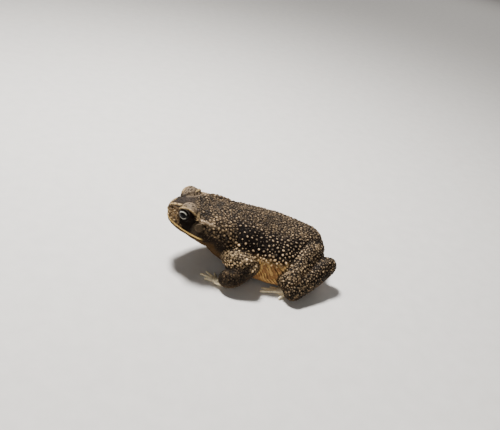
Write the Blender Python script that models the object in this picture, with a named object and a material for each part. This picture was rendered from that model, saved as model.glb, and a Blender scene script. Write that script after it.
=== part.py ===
"""A cane toad sitting on its belly, life size, about 122 mm from snout to vent.

The toad faces -X and its left side is at -Y. The floor is the plane z = 0. Sizes below are in millimetres.
Each form starts as a UV sphere whose rings are moved onto named sections, so it is closed from the start.
"""

import math
import random

import bmesh
import bpy
import numpy as np
from mathutils import Matrix, Quaternion, Vector
from mathutils.bvhtree import BVHTree

MM = 0.001
GAP = 0.3
STEP = 0.001
UPWARDS = Vector((0.031, 0.017, 1)).normalized()
SIDES = {"left": -1, "right": 1}
LIMB_NAMES = ("upper_arm", "forearm", "hand", "thigh", "shank", "foot")

# Trunk sections from the neck to the vent. Rings are the points round a form and the rings along it.
TRUNK = {
    "x": (-35, -27, -17, -5, 7, 18, 28, 38, 48, 57, 64),
    "half_width": (17, 23, 27, 30, 33.5, 36, 36, 28, 20, 14.5, 7),
    "top": (38, 44, 44.2, 43.6, 41.2, 38.4, 36.2, 35, 33.4, 30, 23),
    "widest": (33, 29, 24, 18, 13, 10.5, 10, 12, 14, 15, 16),
    "bottom": (23, 14.5, 7.5, 2, -0.6, -1, -0.8, 0.5, 3.5, 7, 11),
    "domes": (0.06, 0.10),
    "rings": (38, 25),
}

# Sections of the upper head, from the snout to the nape
HEAD = {
    "x": (-59.3, -57, -53, -48, -42, -36, -29, -22),
    "half_width": (4.8, 8.4, 12.2, 16, 20.4, 23.4, 23.8, 20),
    "lip": (35.4, 34.6, 33.4, 31.9, 30.9, 30.0, 29, 29.5),
    "crest": (0.9, 1.5, 3.7, 7.2, 9.4, 11.5, 12.5, 12),
    "top": (41.4, 43.8, 45.4, 46.4, 47.0, 46.4, 45.2, 42.5),
    "rings": (24, 17),
}

# Sections of the lower jaw and throat
JAW = {
    "x": (-59, -55.6, -50, -44, -36, -28, -21),
    "half_width": (4.3, 8.9, 13.6, 17.8, 22.2, 23.4, 21),
    "lip": (35, 34, 32.5, 31.2, 29.8, 28.4, 27.8),
    "bottom": (31.8, 30.0, 27.6, 25.4, 22.6, 17.5, 11.5),
    "rings": (20, 14),
}

EYE = {"centre": (-45.6, 12.6, 44.5), "radii": (5.2, 5.2, 5.2), "rings": (16, 10)}
LID = {"centre": (-44.6, 11.8, 44.7), "radii": (6.6, 6.5, 6.7), "rings": (16, 12)}
EARDRUM = {"centre": (-37.4, 21.4, 38.6), "radii": (3.5, 1.7, 3.5), "rings": (14, 8)}
NOSTRIL = {"centre": (-56.3, 4.4, 42.6), "radii": (1.1, 1.1, 1.1), "rings": (8, 6)}

# Opening between the lids, a widening tube along the gaze
LID_OPENING = {
    "line": ((-45.9, 13, 44.6), (-48.5, 16.6, 45.1), (-51.4, 20.6, 45.7)),
    "across": (4.6, 5, 5.2),
    "up": (4.2, 4.6, 4.8),
    "roll": 0,
    "rings": (20, 8),
}

# Raised edge of the upper lip of one side
LIP = {
    "line": ((-59.1, 3.2, 36.7), (-56.3, 8.9, 35.9), (-50, 14.2, 34), (-43, 19.2, 32.5), (-35, 22.9, 31.4)),
    "across": (0.8, 0.9, 0.9, 0.9, 0.7),
    "up": (0.8, 0.9, 0.9, 0.9, 0.7),
    "roll": 0,
    "rings": (6, 14),
}

# Bony crest of one side: along the snout, over the eye and down behind it above the eardrum
CREST = {
    "line": (
        (-58.0, 0.9, 43.2),
        (-54.8, 2.5, 44.9),
        (-51.0, 5.2, 45.9),
        (-46.2, 7.6, 47.3),
        (-40.8, 9.2, 47.7),
        (-38.7, 12.2, 47.0),
        (-37.9, 15.4, 45.4),
        (-38.2, 18.2, 43.2),
        (-40.0, 20.2, 41.6),
    ),
    "across": (0.7, 0.8, 0.9, 1, 1.2, 1.3, 1.3, 1.2, 0.8),
    "up": (0.7, 0.8, 0.9, 1, 1.2, 1.3, 1.3, 1.2, 0.8),
    "roll": 0,
    "rings": (7, 20),
}

# Gland behind the eye. Roll turns its broad face out and down the side of the neck.
PAROTOID = {
    "line": ((-35.4, 17.0, 39.8), (-24, 18.2, 37.4), (-9.5, 22.2, 32.0)),
    "across": (5.4, 8.4, 7.2),
    "up": (4.4, 5.4, 4.6),
    "roll": 42,
    "rings": (16, 12),
}

# Limbs of one side: the points of a centre line, with the radius across and the radius upwards at each
UPPER_ARM = {
    "line": ((-16, 22, 21), (-6, 29.5, 20.5), (7.5, 36, 19.5)),
    "across": (7.5, 7.6, 6.4),
    "up": (8.5, 8, 7),
    "roll": 0,
    "rings": (14, 10),
}
FOREARM = {
    "line": ((10, 34.5, 21.5), (0, 36, 15.5), (-9, 36, 10), (-18.5, 34.5, 5)),
    "across": (5, 6.6, 7.6, 5),
    "up": (5, 6.8, 8, 5),
    "roll": 0,
    "rings": (14, 12),
}
PALM = {
    "line": ((-13.5, 35.4, 4.6), (-17.8, 33.2, 3.4), (-21.8, 30.2, 2.2)),
    "across": (4.2, 4.8, 4.4),
    "up": (3.6, 2.8, 2),
    "roll": 0,
    "rings": (12, 7),
}
FINGERS = {
    "root": (-19.6, 31.4, 1.8),
    "tips": ((-20.5, 20.5), (-26.5, 19.6), (-31, 22.5), (-28.5, 28.2)),
    "radius": (1.5, 1.25, 1.35),
    "web": 0.25,
    "rings": (7, 7),
}
THIGH = {
    "line": ((57, 7, 22), (46, 17, 20.5), (37, 28.5, 15.5), (27.5, 43, 7)),
    "across": (9, 9, 8.7, 7.5),
    "up": (9, 9.5, 9.2, 7.5),
    "roll": 0,
    "rings": (18, 15),
}
SHANK = {
    "line": ((28, 46.5, 5), (38, 39.5, 9), (51, 30.5, 13.5), (66.5, 19.5, 20.5)),
    "across": (6, 7.2, 7, 6),
    "up": (6.5, 7.6, 7.6, 7),
    "roll": 0,
    "rings": (16, 15),
}
ANKLE = {
    "line": ((64, 20, 15), (51, 29, 6), (38, 35.5, 3.2), (30.5, 37.5, 2)),
    "across": (4.2, 5, 5, 5),
    "up": (4.4, 4.2, 3, 2),
    "roll": 0,
    "rings": (12, 10),
}
TOES = {
    "root": (32.5, 37.5, 1.8),
    "tips": ((25, 31), (19, 31.5), (12.5, 33.8), (11, 37.4), (23.8, 44.5)),
    "radius": (1.6, 1.35, 1.25),
    "web": 0.5,
    "rings": (7, 7),
}
TIP_HEIGHT = 0.9
KNUCKLE_RISE = 0.5
WEB_THICKNESS = 1.3

# The right hind leg is drawn further forward and lies lower than the left one
LEG_SHIFT = {"left": (0, 0, 0), "right": (-9, -1, -1.5)}
FOOT_SHIFT = {"left": (0, 0, 0), "right": (-9, -1, 0)}

# Warts: the share of a form's faces that carry one, and the lowest height of their faces.
# Each kind of wart is the width of its slope, the height of its slope and the height of its crown.
WARTS = {
    "torso": {"share": 0.75, "above": 10, "kinds": ((1.3, 0.9, 0.5), (1.1, 1.0, 0.6), (1.5, 0.8, 0.4))},
    "thigh": {"share": 0.6, "above": 3, "kinds": ((1.0, 0.7, 0.4), (0.8, 0.8, 0.5))},
    "shank": {"share": 0.6, "above": 3, "kinds": ((0.8, 0.6, 0.4), (0.9, 0.8, 0.5))},
    "upper_arm": {"share": 0.6, "above": 14, "kinds": ((0.9, 0.6, 0.4), (0.8, 0.7, 0.4))},
    "forearm": {"share": 0.5, "above": 5, "kinds": ((0.7, 0.5, 0.3), (0.8, 0.6, 0.4))},
    "parotoid": {"share": 0.6, "above": 26, "kinds": ((0.6, 0.4, 0.3), (0.7, 0.5, 0.4))},
    "lid": {"share": 0.4, "above": 47, "kinds": ((0.5, 0.25, 0.2), (0.4, 0.3, 0.2))},
}
CLEARANCE = 1.4
STEEPEST = -0.2
NARROWEST_CROWN = 0.5
SEED = 11

COLOURS = {
    "back": (0.150, 0.115, 0.085),
    "throat": (0.330, 0.235, 0.130),
    "gland": (0.200, 0.140, 0.100),
    "limb": (0.180, 0.140, 0.095),
    "foot": (0.420, 0.350, 0.240),
    "eardrum": (0.150, 0.115, 0.075),
    "eye": (0.030, 0.030, 0.025),
}
ROUGHNESS = {"eye": 0.08, "foot": 0.6, "eardrum": 0.6}
SKIN_ROUGHNESS = 0.8


def make_collection(name):
    collection = bpy.data.collections.new(name)
    bpy.context.scene.collection.children.link(collection)
    return collection


def make_material(name, colour):
    material = bpy.data.materials.new(name)
    material.use_nodes = True
    shader = material.node_tree.nodes["Principled BSDF"]
    shader.inputs["Base Color"].default_value = (*colour, 1)
    shader.inputs["Roughness"].default_value = ROUGHNESS.get(name, SKIN_ROUGHNESS)
    shader.inputs["Metallic"].default_value = 0
    return material


for old in list(bpy.data.objects):
    bpy.data.objects.remove(old)
TOAD = make_collection("cane_toad")
CUTTERS = make_collection("cutters")
MATERIALS = {name: make_material(name, colour) for name, colour in COLOURS.items()}


def spline(xs, ys, x):
    """The smooth curve through (xs, ys) at x, with each slope taken from the neighbours."""
    xs, ys = np.asarray(xs, float), np.asarray(ys, float)
    slopes = np.gradient(ys, xs, axis=0)
    i = int(np.clip(np.searchsorted(xs, x) - 1, 0, len(xs) - 2))
    span = xs[i + 1] - xs[i]
    t = (x - xs[i]) / span
    return (
        (2 * t**3 - 3 * t**2 + 1) * ys[i]
        + (t**3 - 2 * t**2 + t) * span * slopes[i]
        + (3 * t**2 - 2 * t**3) * ys[i + 1]
        + (t**3 - t**2) * span * slopes[i + 1]
    )


def rounding(share, start, end):
    """How wide a form is at this share of its length, when its two ends are domes of these lengths."""
    if share < start:
        return math.sqrt(max(0.0, 1 - (1 - share / start) ** 2))
    if share > 1 - end:
        return math.sqrt(max(0.0, 1 - (1 - (1 - share) / end) ** 2))
    return 1.0


def power(value, exponent):
    return math.copysign(abs(value) ** exponent, value)


def sided(points, side, shift=(0, 0, 0)):
    """Points of the right half, moved by shift and put on the given side."""
    return [(x + shift[0], (y + shift[1]) * side, z + shift[2]) for x, y, z in points]


def closed_form(name, shape, rings, material):
    """A UV sphere whose points are moved to shape(share of the length, angle round it)."""
    bm = bmesh.new()
    bmesh.ops.create_uvsphere(bm, u_segments=rings[0], v_segments=rings[1], radius=1)
    for vert in bm.verts:
        polar = math.acos(max(-1.0, min(1.0, vert.co.z))) / math.pi
        share = (polar + (1 - math.cos(polar * math.pi)) / 2) / 2
        angle = math.atan2(vert.co.y, vert.co.x)
        vert.co = Vector(shape(share, angle)) * MM
    return finished(bm, name, material)


def finished(bm, name, material):
    """Turns the faces outwards and makes the object."""
    if bm.calc_volume(signed=True) < 0:
        bmesh.ops.reverse_faces(bm, faces=bm.faces)
    mesh = bpy.data.meshes.new(name)
    bm.to_mesh(mesh)
    bm.free()
    mesh.shade_smooth()
    obj = bpy.data.objects.new(name, mesh)
    obj.data.materials.append(MATERIALS[material])
    TOAD.objects.link(obj)
    return obj


def trunk_shape(share, angle):
    """An egg-shaped section whose widest line is lower than its middle."""
    x = TRUNK["x"][0] + share * (TRUNK["x"][-1] - TRUNK["x"][0])
    keys = ("half_width", "top", "widest", "bottom")
    half, top, widest, bottom = (float(spline(TRUNK["x"], TRUNK[key], x)) for key in keys)
    size = rounding(share, *TRUNK["domes"])
    across = half * power(math.cos(angle), 0.92)
    rise = (top - widest if math.sin(angle) > 0 else widest - bottom) * power(math.sin(angle), 0.9)
    return x, across * size, widest + rise * size


def head_corners(at):
    """Corners of the right half of a head section, from its underside up to its crown."""
    height = at["top"] - at["lip"]
    cheek = (at["half_width"] + at["crest"]) / 2
    return (
        (-90, (0, at["lip"])),
        (-45, (at["half_width"] * 0.7, at["lip"])),
        (-12, (at["half_width"], at["lip"] + 0.9)),
        (15, (at["half_width"] * 0.97, at["lip"] + 0.34 * height)),
        (42, (cheek * 1.06, at["lip"] + 0.74 * height)),
        (62, (at["crest"], at["top"])),
        (90, (0, at["top"] - 0.5)),
    )


def jaw_corners(at):
    """Corners of the right half of a section through the jaw, from its underside up."""
    depth = at["lip"] - at["bottom"]
    return (
        (-90, (0, at["bottom"])),
        (-45, (at["half_width"] * 0.62, at["bottom"] + 0.12 * depth)),
        (-10, (at["half_width"] * 0.95, at["bottom"] + 0.6 * depth)),
        (12, (at["half_width"], at["lip"] - 0.9)),
        (45, (at["half_width"] * 0.7, at["lip"] - GAP)),
        (90, (0, at["lip"] - GAP)),
    )


def head_form(name, sections, corners, material):
    """A form whose sections across the head run through the corners given for each x."""
    first, last = sections["x"][0], sections["x"][-1]
    keys = [key for key in sections if key not in ("x", "rings")]

    def point(x, angle):
        at = {key: float(spline(sections["x"], sections[key], x)) for key in keys}
        angles, points = zip(*corners(at))
        turned = math.degrees(math.asin(max(-1.0, min(1.0, math.sin(angle)))))
        y, z = spline(angles, points, turned)
        return math.copysign(max(0.0, y), math.cos(angle)), z

    def shape(share, angle):
        x = first + share * (last - first)
        y, z = point(x, angle)
        middle = (point(x, -math.pi / 2)[1] + point(x, math.pi / 2)[1]) / 2
        size = rounding(share, 0.045, 0.05)
        return x, y * size, middle + (z - middle) * size

    return closed_form(name, shape, sections["rings"], material)


def tube_form(name, sizes, line, roll, material):
    """A tube with round ends along a smooth line, its section turned about the line by roll degrees."""
    line = np.asarray(line, float)
    marks = np.concatenate([[0], np.cumsum(np.linalg.norm(np.diff(line, axis=0), axis=1))])
    length = marks[-1]
    across, up = sizes["across"], sizes["up"]
    domes = [min(0.45, max(across[end], up[end]) / length) for end in (0, -1)]

    def shape(share, angle):
        at = share * length
        centre = Vector(spline(marks, line, at))
        ahead = spline(marks, line, min(length, at + 0.5)) - spline(marks, line, max(0.0, at - 0.5))
        forward = Vector(ahead).normalized()
        sideways = forward.cross(Vector((0, 0, 1))).normalized()
        upwards = sideways.cross(forward)
        size = rounding(share, *domes)
        wide = float(spline(marks, across, at)) * size * math.cos(angle)
        tall = float(spline(marks, up, at)) * size * math.sin(angle)
        return centre + Quaternion(forward, math.radians(roll)) @ (sideways * wide + upwards * tall)

    return closed_form(name, shape, sizes["rings"], material)


def side_tube(name, sizes, side, material, shift=(0, 0, 0)):
    line = sided(sizes["line"], side, shift)
    return tube_form(name, sizes, line, -sizes["roll"] * side, material)


def side_ball(name, sizes, side, material):
    """An ellipsoid on one side of the head."""
    (centre,) = sided([sizes["centre"]], side)
    radii = sizes["radii"]

    def shape(share, angle):
        x = 2 * share - 1
        size = math.sqrt(max(0.0, 1 - x * x))
        return (
            centre[0] + radii[0] * x,
            centre[1] + radii[1] * size * math.cos(angle),
            centre[2] + radii[2] * size * math.sin(angle),
        )

    return closed_form(name, shape, sizes["rings"], material)


def combined(obj, others, operation):
    """One Boolean of the object with a collection of others, which are then removed."""
    group = make_collection("operands")
    for other in others:
        group.objects.link(other)
    boolean = obj.modifiers.new("combine", "BOOLEAN")
    boolean.operation = operation
    boolean.operand_type = "COLLECTION"
    boolean.collection = group
    boolean.solver = "EXACT"
    graph = bpy.context.evaluated_depsgraph_get()
    mesh = bpy.data.meshes.new_from_object(obj.evaluated_get(graph))
    obj.modifiers.clear()
    obj.data = mesh
    bpy.data.collections.remove(group)
    for other in others:
        bpy.data.objects.remove(other)


def keep_largest(obj):
    """Drops loose scraps: the object keeps its largest closed surface."""
    bm = bmesh.new()
    bm.from_mesh(obj.data)
    left, groups = set(bm.faces), []
    while left:
        group, front = set(), [left.pop()]
        while front:
            face = front.pop()
            group.add(face)
            near = {n for edge in face.edges for n in edge.link_faces if n in left}
            left -= near
            front.extend(near)
        groups.append(group)
    largest = max(groups, key=lambda group: sum(face.calc_area() for face in group))
    scraps = [face for group in groups if group is not largest for face in group]
    bmesh.ops.delete(bm, geom=scraps, context="FACES")
    bm.to_mesh(obj.data)
    bm.free()


def cutter_from(mesh, by):
    """A cutter with the shape of a mesh, its skin moved outwards."""
    obj = bpy.data.objects.new("cutter", mesh.copy())
    normals = [vert.normal.copy() for vert in mesh.vertices]
    for vert, normal in zip(obj.data.vertices, normals):
        vert.co += normal * by * MM
    obj.hide_render = True
    obj.display_type = "WIRE"
    CUTTERS.objects.link(obj)
    return obj


def trim(obj, neighbours, whole):
    """Cuts the object back from the whole forms of its neighbours, leaving the gap between pieces."""
    combined(obj, [cutter_from(whole[name], GAP) for name in neighbours], "DIFFERENCE")
    keep_largest(obj)


def floor_mesh():
    """A block under the floor."""
    bm = bmesh.new()
    bmesh.ops.create_cube(bm, size=1)
    bmesh.ops.scale(bm, vec=(300 * MM, 200 * MM, 20 * MM), verts=bm.verts)
    bmesh.ops.translate(bm, vec=(0, 0, -10 * MM), verts=bm.verts)
    mesh = bpy.data.meshes.new("floor")
    bm.to_mesh(mesh)
    bm.free()
    return mesh


def tree_of(mesh):
    bm = bmesh.new()
    bm.from_mesh(mesh)
    tree = BVHTree.FromBMesh(bm)
    bm.free()
    return tree


def is_inside(tree, spot):
    """Whether a line upwards from the spot leaves the form an odd number of times."""
    crossings = 0
    while spot is not None:
        spot = tree.ray_cast(spot, UPWARDS)[0]
        if spot is not None:
            crossings += 1
            spot += UPWARDS * STEP * MM
    return crossings % 2 == 1


def raise_warts(obj, trees, rng):
    """Raises some of the quads into warts, away from the neighbours and the floor."""
    warts = WARTS[obj.name.rsplit("_", 1)[0]]
    bm = bmesh.new()
    bm.from_mesh(obj.data)

    def free(face, slope):
        narrowest = min(edge.calc_length() for edge in face.edges)
        if len(face.verts) != 4 or narrowest < (2 * slope + NARROWEST_CROWN) * MM:
            return False
        spots = [vert.co for vert in face.verts]
        if face.normal.z < STEEPEST or min(spot.z for spot in spots) < warts["above"] * MM:
            return False
        for tree in trees:
            if any(tree.find_nearest(spot)[3] < CLEARANCE * MM for spot in spots):
                return False
            if is_inside(tree, face.calc_center_median()):
                return False
        return True

    def place(face):
        return [round(value / MM, 2) for value in face.calc_center_median()]

    batches = {kind: [] for kind in warts["kinds"]}
    for face in sorted(bm.faces, key=place):
        chance, kind = rng.random(), rng.choice(warts["kinds"])
        if chance < warts["share"] and free(face, kind[0]):
            batches[kind].append(face)
    for (slope, height, crown), faces in batches.items():
        bmesh.ops.inset_individual(
            bm, faces=faces, thickness=slope * MM, depth=height * MM, use_even_offset=True
        )
        bmesh.ops.poke(bm, faces=faces, offset=crown * MM)
    bm.to_mesh(obj.data)
    bm.free()


def web_form(root, tips, reach, material):
    """The thin skin between digits: the hull of their root and of points part of the way to their tips."""
    bm = bmesh.new()
    for x, y, z in [root] + [Vector(root).lerp(Vector(tip), reach) for tip in tips]:
        for height in (0.3, 0.3 + WEB_THICKNESS):
            bmesh.ops.create_vert(bm, co=Vector((x, y, height)) * MM)
    bmesh.ops.convex_hull(bm, input=bm.verts)
    bmesh.ops.delete(bm, geom=[vert for vert in bm.verts if not vert.link_faces], context="VERTS")
    return finished(bm, "web", material)


def add_digits(obj, digits, side, shift=(0, 0, 0)):
    """Joins fingers or toes and the web between them to a hand or foot."""
    (root,) = sided([digits["root"]], side, shift)
    tips = sided([(x, y, TIP_HEIGHT) for x, y in digits["tips"]], side, shift)
    radii = {"across": digits["radius"], "up": digits["radius"], "rings": digits["rings"]}
    pieces = [web_form(root, tips, digits["web"], "foot")]
    for tip in tips:
        knuckle = Vector(root).lerp(Vector(tip), 0.5) + Vector((0, 0, KNUCKLE_RISE))
        pieces.append(tube_form("digit", radii, [root, knuckle, tip], 0, "foot"))
    combined(obj, pieces, "UNION")


def make_head(rng):
    """The upper head with its eyelids and their openings, crests, lips and nostrils."""
    head = head_form("head", HEAD, head_corners, "back")
    swellings, openings = [], []
    for name, side in SIDES.items():
        lid = side_ball(f"lid_{name}", LID, side, "back")
        raise_warts(lid, [], rng)
        swellings.append(lid)
        swellings.append(side_tube("crest", CREST, side, "back"))
        swellings.append(side_tube("lip", LIP, side, "back"))
        openings.append(side_tube("opening", LID_OPENING, side, "back"))
        openings.append(side_ball("nostril", NOSTRIL, side, "back"))
    combined(head, swellings, "UNION")
    combined(head, openings, "DIFFERENCE")


def stand_on_origin():
    """Moves every piece so that the origin is under the middle of the whole, on the floor."""
    points = np.array([vert.co for obj in TOAD.objects for vert in obj.data.vertices])
    low, high = points.min(axis=0), points.max(axis=0)
    middle = Vector(((low[0] + high[0]) / 2, (low[1] + high[1]) / 2, low[2]))
    for obj in TOAD.objects:
        obj.data.transform(Matrix.Translation(-middle))
    print("the origin is moved by", [round(value / MM, 2) for value in middle], "mm")


rng = random.Random(SEED)
closed_form("torso", trunk_shape, TRUNK["rings"], "back")
make_head(rng)
head_form("lower_jaw", JAW, jaw_corners, "throat")

# What each piece is cut back from
cut_by = {"head": ["torso"], "lower_jaw": ["torso", "head"]}
for name, side in SIDES.items():
    side_ball(f"eye_{name}", EYE, side, "eye")
    side_ball(f"eardrum_{name}", EARDRUM, side, "eardrum")
    side_tube(f"parotoid_{name}", PAROTOID, side, "gland")
    side_tube(f"upper_arm_{name}", UPPER_ARM, side, "limb")
    side_tube(f"forearm_{name}", FOREARM, side, "limb")
    hand = side_tube(f"hand_{name}", PALM, side, "foot")
    add_digits(hand, FINGERS, side)
    side_tube(f"thigh_{name}", THIGH, side, "limb", LEG_SHIFT[name])
    side_tube(f"shank_{name}", SHANK, side, "limb", LEG_SHIFT[name])
    foot = side_tube(f"foot_{name}", ANKLE, side, "foot", FOOT_SHIFT[name])
    add_digits(foot, TOES, side, FOOT_SHIFT[name])
    cut_by["head"] += [f"eye_{name}", f"eardrum_{name}", f"parotoid_{name}"]
    cut_by[f"parotoid_{name}"] = ["torso", "lower_jaw", f"eardrum_{name}"]
    cut_by[f"upper_arm_{name}"] = ["torso", f"parotoid_{name}"]
    cut_by[f"forearm_{name}"] = ["torso", f"upper_arm_{name}"]
    cut_by[f"hand_{name}"] = ["torso", f"forearm_{name}"]
    cut_by[f"thigh_{name}"] = ["torso"]
    cut_by[f"shank_{name}"] = ["torso", f"thigh_{name}"]
    cut_by[f"foot_{name}"] = ["torso", f"thigh_{name}", f"shank_{name}"]

whole = {obj.name: obj.data.copy() for obj in TOAD.objects}
trees = {name: tree_of(mesh) for name, mesh in whole.items()}
for obj in TOAD.objects:
    if obj.name.rsplit("_", 1)[0] in WARTS:
        raise_warts(obj, [tree for name, tree in trees.items() if name != obj.name], rng)
for name, neighbours in cut_by.items():
    trim(TOAD.objects[name], neighbours, whole)
for obj in TOAD.objects:
    if obj.name == "torso" or obj.name.startswith(LIMB_NAMES):
        combined(obj, [cutter_from(floor_mesh(), 0)], "DIFFERENCE")
        keep_largest(obj)
stand_on_origin()
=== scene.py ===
import math

import bmesh
import bpy
import numpy as np
from mathutils import Matrix, Vector, noise
from mathutils.kdtree import KDTree


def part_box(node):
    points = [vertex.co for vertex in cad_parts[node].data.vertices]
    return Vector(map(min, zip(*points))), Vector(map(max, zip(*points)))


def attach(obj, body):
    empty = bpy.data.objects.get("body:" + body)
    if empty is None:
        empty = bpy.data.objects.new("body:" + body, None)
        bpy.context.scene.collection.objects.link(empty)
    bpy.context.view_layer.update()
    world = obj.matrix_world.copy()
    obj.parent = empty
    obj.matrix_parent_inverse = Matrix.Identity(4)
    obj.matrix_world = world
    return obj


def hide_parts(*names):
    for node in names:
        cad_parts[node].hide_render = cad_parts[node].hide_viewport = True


# A cane toad on a plain pale floor. It faces -X and its left side, which the camera sees, is at -Y.
# The sizes in the dictionaries are in millimetres, from the same point as the solids were drawn from.

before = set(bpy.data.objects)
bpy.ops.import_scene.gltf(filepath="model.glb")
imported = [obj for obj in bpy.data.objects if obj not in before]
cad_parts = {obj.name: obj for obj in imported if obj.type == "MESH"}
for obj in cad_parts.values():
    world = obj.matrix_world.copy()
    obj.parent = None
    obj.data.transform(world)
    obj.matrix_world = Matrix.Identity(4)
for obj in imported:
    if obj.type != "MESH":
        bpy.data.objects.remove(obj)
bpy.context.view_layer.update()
mm = 0.001

eyeball = {
    "solidCentre": (-45.6, -12.6, 44.5),  # of the left eye of the solids
    "centre": (-46.2, 12.6, 44.4),
    "radius": 5.4,
    "gaze": (-0.59, 0.80, 0.07),
    "pupil": (0.80, 0.52),  # half width and half height, as a share of the iris
    "iris": 0.57,  # radius of the iris, as a share of the ball
    "rings": (64, 48),
}
low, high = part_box("eye_left")
shift = Vector(eyeball["solidCentre"]) * mm - (low + high) / 2
shiftMm = np.array(shift) / mm

trunk = {
    "x": (-35, -27, -17, -5, 7, 18, 28, 38, 48, 57, 64),
    "halfWidth": (17, 23, 27, 30, 33.5, 36, 36, 28, 20, 14.5, 7),
    "top": (38, 44, 44.2, 43.6, 41.2, 38.4, 36.2, 35, 33.4, 30, 23),
    "widest": (33, 29, 24, 18, 13, 10.5, 10, 12, 14, 15, 16),
    "bottom": (23, 14.5, 7.5, 2, -0.6, -1, -0.8, 0.5, 3.5, 7, 11),
    "domes": (0.06, 0.10),
    "rings": (96, 72),
}
upperHead = {
    "x": (-59.3, -57, -53, -48, -42, -36, -29, -22),
    "halfWidth": (4.8, 8.4, 12.2, 16, 20.4, 23.4, 23.8, 20),
    "lip": (35.4, 34.6, 33.4, 31.9, 30.9, 30.0, 29, 29.5),
    "crest": (0.9, 1.5, 3.7, 7.2, 9.4, 11.5, 12.5, 12),
    "top": (41.4, 43.8, 45.4, 46.4, 47.0, 46.4, 45.2, 42.5),
    "rings": (80, 56),
}
jaw = {
    "x": (-59, -55.6, -50, -44, -36, -28, -21),
    "halfWidth": (4.3, 8.9, 13.6, 17.8, 22.2, 23.4, 21),
    "lip": (35, 34, 32.5, 31.2, 29.8, 28.4, 27.8),
    "bottom": (31.8, 30.0, 27.6, 25.4, 22.6, 17.5, 11.5),
    "rings": (72, 48),
}
lid = {"centre": (-44.6, 11.8, 44.7), "radii": (6.6, 6.5, 6.7), "rings": (56, 40)}
eardrum = {"centre": (-37.6, 21.3, 39.4), "radii": (3.1, 1.5, 3.1), "rings": (40, 28)}
crest = {
    "line": (
        (-58.0, 0.9, 43.2),
        (-54.8, 2.5, 44.9),
        (-51.0, 5.2, 45.9),
        (-46.2, 7.6, 47.5),
        (-42.0, 9.4, 48.8),
        (-40.0, 12.0, 49.2),
        (-38.8, 14.4, 48.0),
        (-38.5, 16.3, 46.1),
        (-38.8, 18.0, 44.2),
        (-40.4, 18.5, 43.0),
    ),
    "across": (0.7, 0.8, 0.9, 0.9, 1.0, 1.15, 1.2, 1.2, 1.15, 0.9),
    "up": (0.7, 0.8, 0.9, 0.9, 1.0, 1.15, 1.2, 1.2, 1.15, 0.9),
    "rings": (20, 120),
}
# the low lumpy ridge above the eardrum
brow = {
    "line": ((-38.4, 18.0, 44.2), (-36.4, 18.9, 43.4), (-34.0, 19.7, 42.7), (-31.2, 20.4, 42.3), (-28.0, 21.2, 41.6)),
    "across": (0.8, 0.95, 1.1, 1.1, 0.8),
    "up": (0.8, 0.95, 1.1, 1.1, 0.8),
    "rings": (20, 60),
}
lip = {
    "line": ((-59.1, 3.2, 36.9), (-56.3, 8.9, 36.2), (-50, 14.2, 34.2), (-43, 19.2, 32.5), (-35, 22.9, 31.4)),
    "across": (0.8, 0.9, 0.9, 0.9, 0.7),
    "up": (0.8, 0.9, 0.9, 0.9, 0.7),
    "rings": (20, 80),
}
gland = {
    "line": ((-35.4, 17.0, 39.8), (-24, 18.2, 37.4), (-9.5, 22.2, 32.0)),
    "across": (5.4, 8.4, 7.2),
    "up": (4.4, 5.4, 4.6),
    "roll": 42,
    "rings": (56, 48),
}
upperArm = {
    "line": ((-17, 22, 21), (-8, 29.5, 20.5), (4, 36, 19.8)),
    "across": (7.5, 7.6, 6.2),
    "up": (8.5, 8, 6.8),
    "rings": (56, 48),
}
forearm = {
    "line": ((6, 34.5, 21.5), (-2.4, 36, 16), (-10.2, 36, 10.2), (-19, 34.5, 5)),
    "across": (4.8, 6.0, 7.2, 5),
    "up": (4.8, 6.2, 7.6, 5),
    "rings": (56, 56),
}
palm = {
    "line": ((-13.5, 35.4, 4.6), (-17.8, 33.2, 3.4), (-21.8, 30.2, 2.2)),
    "across": (3.2, 3.5, 3.6),
    "up": (2.8, 2.2, 1.6),
    "rings": (40, 28),
}
fingers = {
    "root": (-19.6, 31.4, 1.8),
    "tips": ((-20.5, 20.5), (-26.5, 19.6), (-31, 22.5), (-28.5, 28.2)),
    "radius": (1.5, 1.05, 1.1, 0.9, 0.95),
    "web": 0.25,
    "rings": (20, 40),
}
thigh = {
    "line": ((57, 7, 22), (46, 17, 20.5), (37, 28.5, 15.5), (27.5, 43, 7)),
    "across": (9, 9, 8.7, 7.5),
    "up": (9, 9.5, 9.2, 7.5),
    "rings": (64, 72),
}
shank = {
    "line": ((28, 46.5, 5), (38, 39.5, 9), (51, 30.5, 13.5), (66.5, 19.5, 20.5)),
    "across": (6, 7.2, 7, 6),
    "up": (6.5, 7.6, 7.6, 7),
    "rings": (56, 72),
}
ankle = {
    "line": ((64, 20, 15), (51, 29, 6), (38, 35.5, 3.2), (30.5, 37.5, 2)),
    "across": (4.2, 5, 5, 5),
    "up": (4.4, 4.2, 3, 2),
    "rings": (40, 56),
}
toes = {
    "root": (32.5, 37.5, 1.8),
    "tips": ((25, 31), (19, 31.5), (12.5, 33.8), (11, 37.4), (23.8, 44.5)),
    "radius": (1.6, 1.25, 1.15, 1.0, 0.95),
    "web": 0.5,
    "rings": (20, 40),
}
digitTip = {"height": 0.9, "knuckleRise": 0.3, "webThickness": 0.7}
legShift = {-1: (0, 0, 0), 1: (-9, -1, -1.5)}
footShift = {-1: (0, 0, 0), 1: (-9, -1, 0)}

skinMesh = {"coarse": 1.0, "fine": 0.66, "blend": 7, "polish": 2, "triangles": 194000}


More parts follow.
